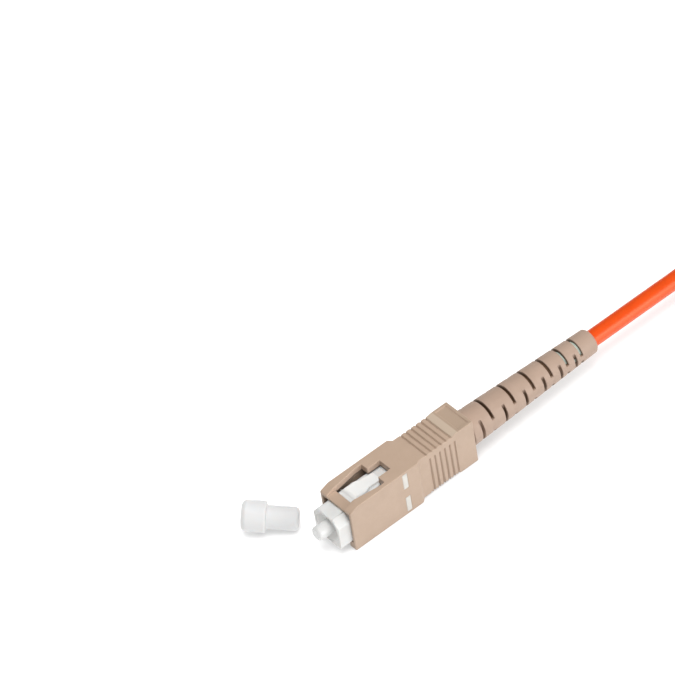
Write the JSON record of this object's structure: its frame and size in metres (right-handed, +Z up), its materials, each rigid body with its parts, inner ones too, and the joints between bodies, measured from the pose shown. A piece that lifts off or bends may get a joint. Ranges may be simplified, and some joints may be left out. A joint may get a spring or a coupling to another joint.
{
  "type": "fibre optic plug",
  "caption": "Push-pull optical fibre plug with a sliding rectangular grip, white inner frame, floating ferrule, notched boot, orange cable and a loose dust cap.",
  "frame": {"origin": "on the flat narrow face that the grip lies on, between the lower window and the step of the grip, under the ferrule's axis", "axes": "+X along the ferrule towards its tip, +Z up, +Y away from the key rib"},
  "size_m": [0.1396, 0.042, 0.012],
  "materials": {
    "grip_plastic": "satin moulded beige",
    "boot_rubber": "matte flexible beige",
    "frame_plastic": "satin white",
    "zirconia": "polished white",
    "plated_metal": "nickel plated",
    "spring_steel": "bright wire",
    "crimp_alloy": "satin",
    "aramid": "yellow yarn",
    "guide_plastic": "waxy white",
    "fibre_glass": "clear",
    "buffer_plastic": "satin",
    "jacket_plastic": "satin orange",
    "sleeve_plastic": "pale grey green",
    "cap_plastic": "slightly translucent white"
  },
  "bodies": {
    "core": {"plug_frame": "frame_plastic", "stop_ring": "plated_metal", "aramid_yarn": "aramid", "crimp_sleeve": "crimp_alloy", "cable_sleeve": "sleeve_plastic", "boot": "boot_rubber", "buffered_fibre": "buffer_plastic", "spring": "spring_steel", "cable": "jacket_plastic", "cable_coil": "jacket_plastic", "dust_cap": "cap_plastic"},
    "grip": {"grip_housing": "grip_plastic", "marker_bar_1": "frame_plastic", "marker_bar_2": "frame_plastic", "marker_bar_3": "frame_plastic", "marker_bar_4": "frame_plastic"},
    "ferrule_group": {"ferrule": "zirconia", "ferrule_flange": "plated_metal", "guide_tube": "guide_plastic", "bare_fibre": "fibre_glass"}
  },
  "joints": [
    {"name": "grip_slide", "type": "slide", "parent": "core", "child": "grip", "axis": [1, 0, 0], "range_m": [0, 0.0015]},
    {"name": "ferrule_float", "type": "slide", "parent": "core", "child": "ferrule_group", "axis": [-1, 0, 0], "range_m": [0, 0.0015], "stiffness_N_per_m": 2600, "springref_m": -0.0023, "deforming": ["spring", "buffered_fibre"]}
  ]
}
